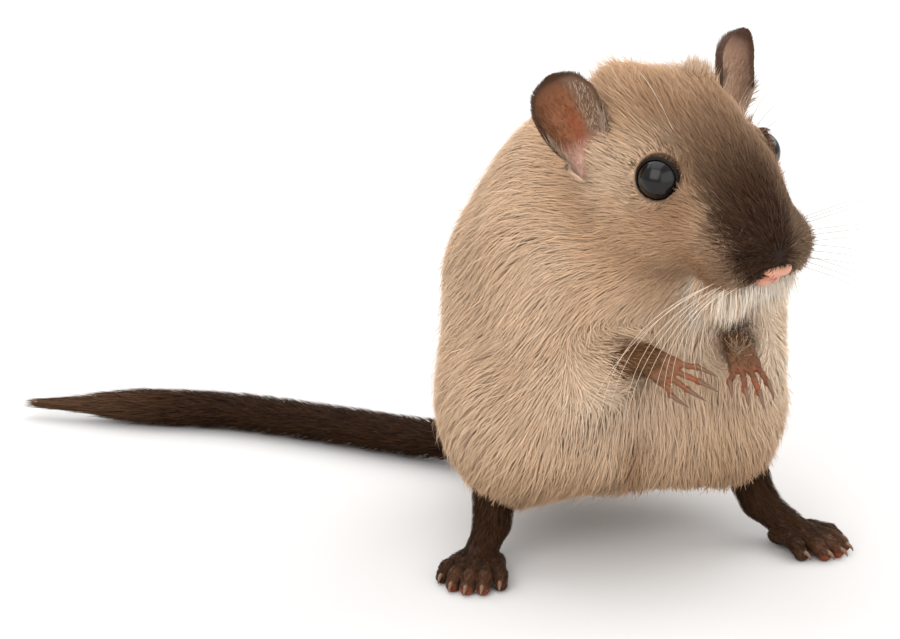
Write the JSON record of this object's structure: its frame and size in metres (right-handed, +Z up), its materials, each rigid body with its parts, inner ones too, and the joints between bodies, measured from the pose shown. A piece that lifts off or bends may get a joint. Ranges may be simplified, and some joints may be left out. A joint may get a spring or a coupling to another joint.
{
  "type": "mongolian gerbil",
  "caption": "Life-size still gerbil standing up on its hind feet with its forepaws at its chest, its head turned to its left and its tail laid out behind it",
  "frame": {"origin": "on the floor, under the middle of the whole animal's box, tail included", "axes": "+Z up; -Y is the way the chest faces; +X is the animal's left"},
  "size_m": [0.1094, 0.1034, 0.0745],
  "materials": {
    "coat": "soft short fur, warm sandy beige, browner towards its tips",
    "head_coat": "short fur, sandy beige with a dark brown mask over the muzzle",
    "dark_coat": "short dense dark brown fur, longer towards the tip",
    "ear": "thin bare skin with fine down, dark at the rim and pinker inside",
    "nose": "moist pink skin",
    "forepaw": "brown down over pinkish skin",
    "hind_foot": "dark brown down over skin",
    "claw": "brownish horn, a little translucent",
    "eye": "wet, glossy, near black"
  },
  "bodies": {
    "root": {"claw_foot_left_1": "claw", "claw_foot_left_2": "claw", "claw_foot_left_3": "claw", "claw_foot_left_4": "claw", "claw_foot_left_5": "claw", "claw_foot_right_1": "claw", "claw_foot_right_2": "claw", "claw_foot_right_3": "claw", "claw_foot_right_4": "claw", "claw_foot_right_5": "claw", "claw_hand_left_1": "claw", "claw_hand_left_2": "claw", "claw_hand_left_3": "claw", "claw_hand_left_4": "claw", "claw_hand_right_1": "claw", "claw_hand_right_2": "claw", "claw_hand_right_3": "claw", "claw_hand_right_4": "claw", "ear_left": "ear", "ear_right": "ear", "eye_left": "eye", "eye_right": "eye", "foot_left": "hind_foot", "foot_right": "hind_foot", "forearm_left": "forepaw", "forearm_right": "forepaw", "hand_left": "forepaw", "hand_right": "forepaw", "head": "head_coat", "lower_leg_left": "hind_foot", "lower_leg_right": "hind_foot", "neck": "coat", "nose": "nose", "tail_middle": "dark_coat", "tail_root": "dark_coat", "tail_tip": "dark_coat", "thigh_left": "coat", "thigh_right": "coat", "torso": "coat", "upper_arm_left": "coat", "upper_arm_right": "coat"}
  },
  "joints": []
}
